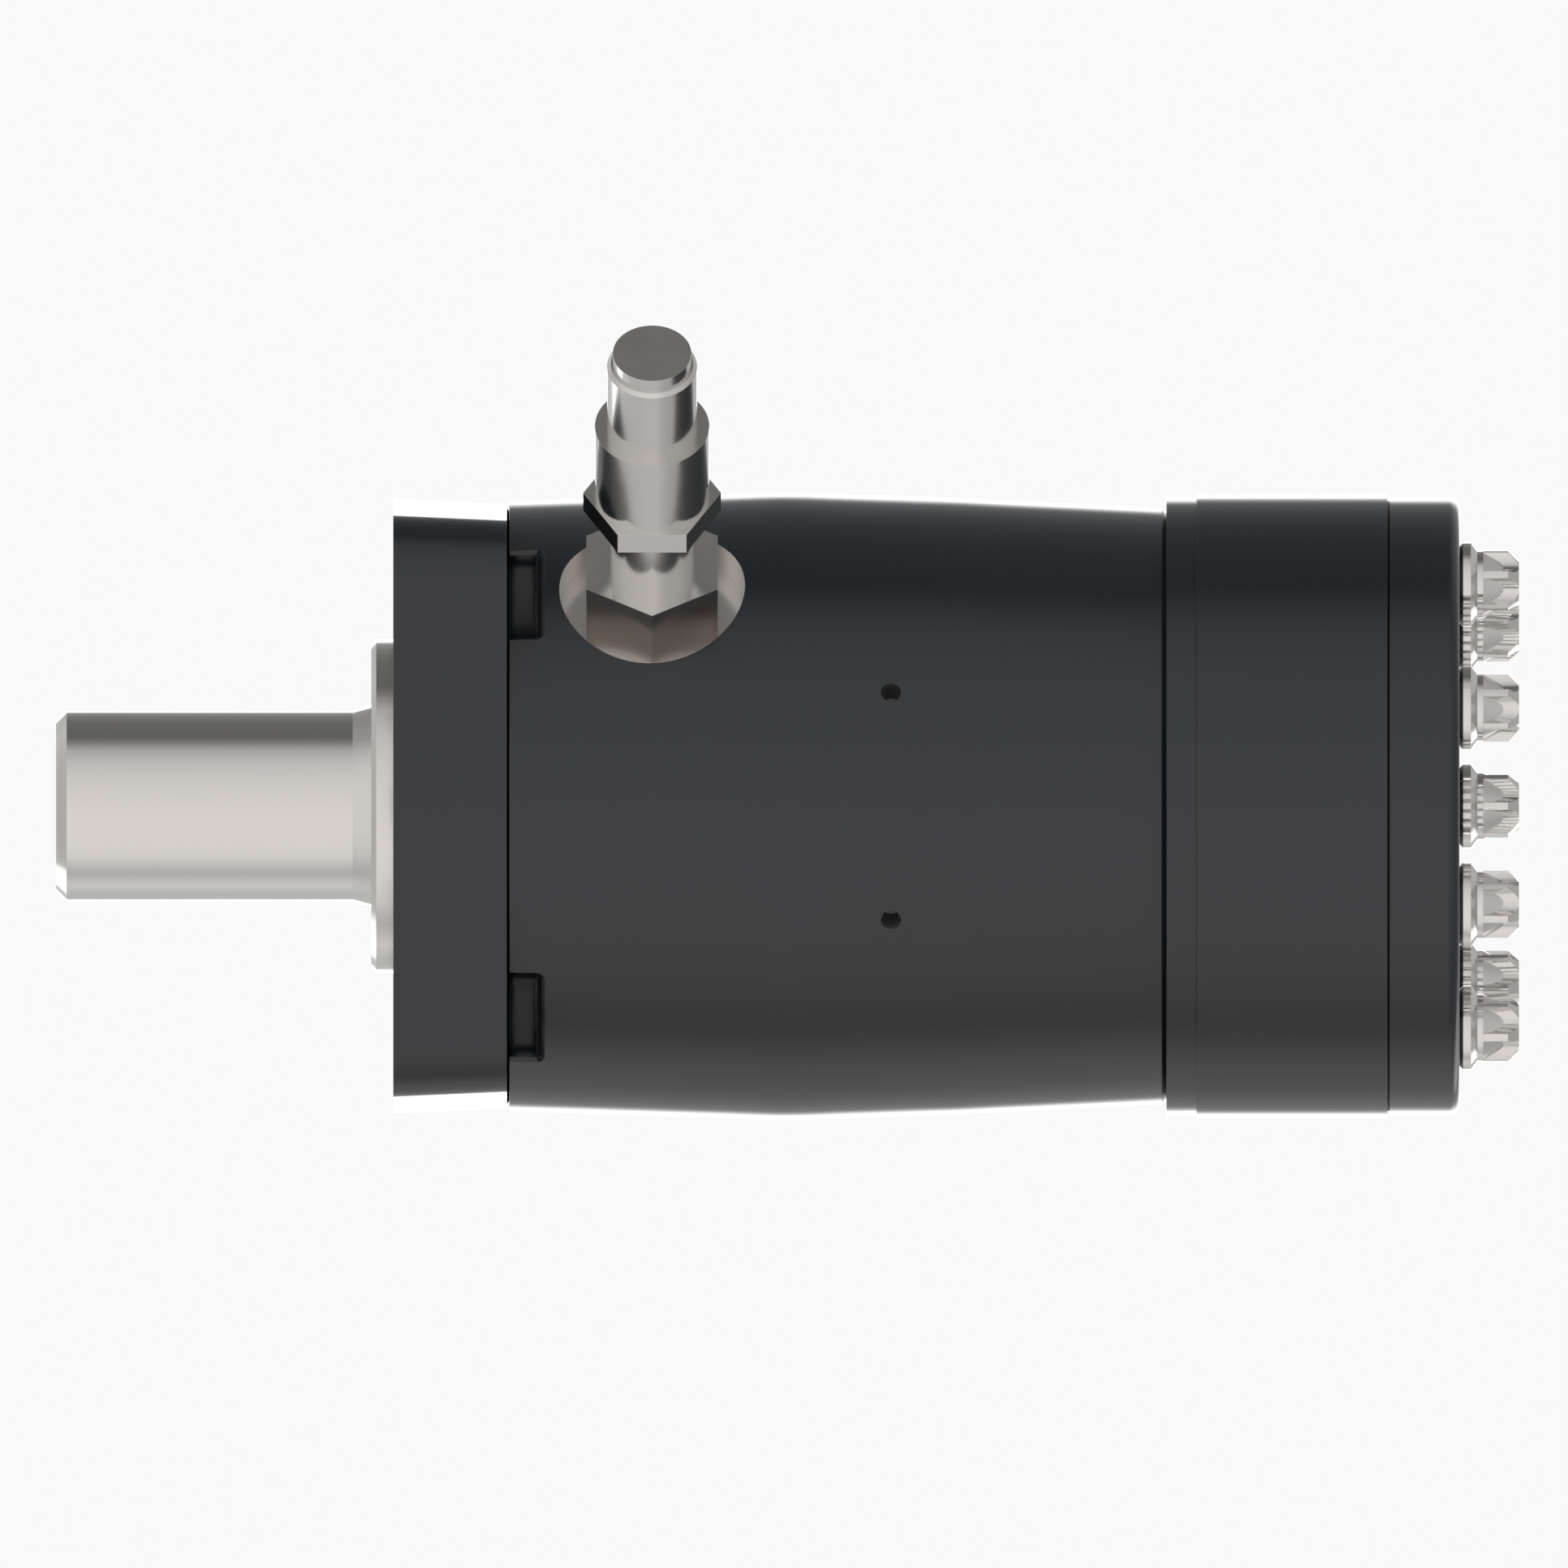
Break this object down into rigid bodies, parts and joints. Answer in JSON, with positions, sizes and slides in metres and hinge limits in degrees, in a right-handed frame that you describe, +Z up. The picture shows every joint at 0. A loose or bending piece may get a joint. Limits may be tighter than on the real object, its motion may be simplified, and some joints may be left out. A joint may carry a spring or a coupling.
{
  "type": "orbital hydraulic motor",
  "caption": "Low-speed orbital hydraulic motor: flanged cast housing, straight keyed output shaft, angled port fittings, roller gerotor set and a screwed end cover.",
  "frame": {"origin": "centre of the mounting face, on the output shaft's axis", "axes": "-X along the output shaft, out of the mounting face; +Z up, midway between the two ports; +Y to the side of the second port"},
  "size_m": [0.1948, 0.128, 0.1057],
  "materials": {
    "charcoal_paint": "satin charcoal paint",
    "bright_steel": "fine turned bare steel",
    "plated_fitting": "bright plating, near mirror",
    "plated_screws": "bright plating, slightly dull",
    "hardened_steel": "ground and hardened steel",
    "seal_rubber": "matt black"
  },
  "bodies": {
    "motor_body": {"mounting_flange": "charcoal_paint", "flange_seal_ring": "seal_rubber", "dust_seal": "seal_rubber", "shaft_seal": "seal_rubber", "seal_backup_washer": "hardened_steel", "front_thrust_race": "hardened_steel", "flange_screws": "plated_screws", "housing": "charcoal_paint", "port_adapter_a": "plated_fitting", "port_adapter_b": "plated_fitting", "port_seal_a": "seal_rubber", "port_seal_b": "seal_rubber", "port_stem_a": "plated_fitting", "port_stem_b": "plated_fitting", "spacer_plate": "charcoal_paint", "housing_seal_ring": "seal_rubber", "gerotor_ring": "charcoal_paint", "gerotor_seal_ring": "seal_rubber", "end_cover": "charcoal_paint", "cover_seal_ring": "seal_rubber", "cover_screws": "plated_screws"},
    "shaft": {"output_shaft": "bright_steel", "shaft_key": "bright_steel", "rear_thrust_race": "hardened_steel"},
    "bearing_cage": {"thrust_cage": "hardened_steel", "thrust_needles": "hardened_steel"},
    "orbit": {"drive_spacer": "hardened_steel"},
    "star": {"gerotor_star": "hardened_steel"},
    "link": {"drive_link": "hardened_steel"},
    "roller_1": {"roller_1": "hardened_steel"},
    "roller_2": {"roller_2": "hardened_steel"},
    "roller_3": {"roller_3": "hardened_steel"},
    "roller_4": {"roller_4": "hardened_steel"},
    "roller_5": {"roller_5": "hardened_steel"},
    "roller_6": {"roller_6": "hardened_steel"},
    "roller_7": {"roller_7": "hardened_steel"}
  },
  "joints": [
    {"name": "shaft_spin", "type": "hinge", "parent": "motor_body", "child": "shaft", "pos_m": [0, 0, 0], "axis": [1, 0, 0], "continuous": true},
    {"name": "cage_spin", "type": "hinge", "parent": "motor_body", "child": "bearing_cage", "pos_m": [0.01447, 0, 0], "axis": [1, 0, 0], "continuous": true},
    {"name": "star_orbit", "type": "hinge", "parent": "motor_body", "child": "orbit", "pos_m": [0.11972, 0, 0], "axis": [1, 0, 0], "continuous": true},
    {"name": "star_spin", "type": "hinge", "parent": "orbit", "child": "star", "pos_m": [0.11972, -0.00255, 0], "axis": [1, 0, 0], "continuous": true},
    {"name": "drive_spin", "type": "hinge", "parent": "orbit", "child": "link", "pos_m": [0.048, 0, 0], "axis": [0.9994, -0.0355, 0], "continuous": true},
    {"name": "roller_1_spin", "type": "hinge", "parent": "motor_body", "child": "roller_1", "pos_m": [0.11972, -0.0242, 0], "axis": [1, 0, 0], "continuous": true},
    {"name": "roller_2_spin", "type": "hinge", "parent": "motor_body", "child": "roller_2", "pos_m": [0.11972, -0.01509, -0.01892], "axis": [1, 0, 0], "continuous": true},
    {"name": "roller_3_spin", "type": "hinge", "parent": "motor_body", "child": "roller_3", "pos_m": [0.11972, 0.00539, -0.02359], "axis": [1, 0, 0], "continuous": true},
    {"name": "roller_4_spin", "type": "hinge", "parent": "motor_body", "child": "roller_4", "pos_m": [0.11972, 0.0218, -0.0105], "axis": [1, 0, 0], "continuous": true},
    {"name": "roller_5_spin", "type": "hinge", "parent": "motor_body", "child": "roller_5", "pos_m": [0.11972, 0.0218, 0.0105], "axis": [1, 0, 0], "continuous": true},
    {"name": "roller_6_spin", "type": "hinge", "parent": "motor_body", "child": "roller_6", "pos_m": [0.11972, 0.00539, 0.02359], "axis": [1, 0, 0], "continuous": true},
    {"name": "roller_7_spin", "type": "hinge", "parent": "motor_body", "child": "roller_7", "pos_m": [0.11972, -0.01509, 0.01892], "axis": [1, 0, 0], "continuous": true}
  ],
  "couplings": [
    {"joint": "shaft_spin", "follows": "star_orbit", "ratio": -0.16667},
    {"joint": "cage_spin", "follows": "star_orbit", "ratio": -0.083333},
    {"joint": "star_spin", "follows": "star_orbit", "ratio": -1.1667},
    {"joint": "drive_spin", "follows": "star_orbit", "ratio": -1.1667}
  ]
}
